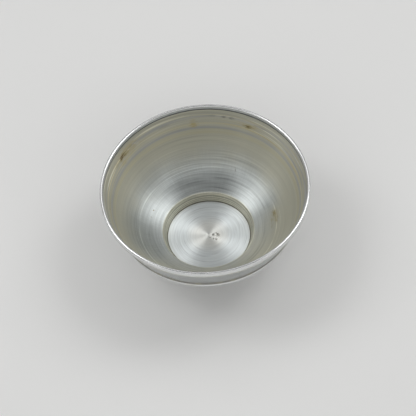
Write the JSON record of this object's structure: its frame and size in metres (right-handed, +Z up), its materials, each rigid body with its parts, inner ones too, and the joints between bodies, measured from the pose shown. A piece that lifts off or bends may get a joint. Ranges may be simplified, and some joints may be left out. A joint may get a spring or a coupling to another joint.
{
  "type": "offering bowl",
  "caption": "Small round water-offering bowl: spun flared wall with a wire rim and a girdle wire, on a foot ring that holds the recessed flat floor.",
  "frame": {"origin": "centre of the foot's standing face", "axes": "+Z is up along the bowl's axis; the bowl is round, so +X and +Y are free, and +Y points away from the camera of the picture"},
  "size_m": [0.07, 0.07, 0.0311],
  "materials": {
    "plated_wall": "satin",
    "plated_floor": "satin",
    "plated_wire": "gloss",
    "solder": "matte"
  },
  "bodies": {
    "root": {"bowl_body": "plated_wall", "rim_wire": "plated_wire", "rim_solder": "solder", "girdle_wire": "plated_wire", "girdle_solder": "solder", "foot_ring": "plated_wall", "foot_solder": "solder", "floor_disc": "plated_floor", "floor_solder": "solder"}
  },
  "joints": []
}
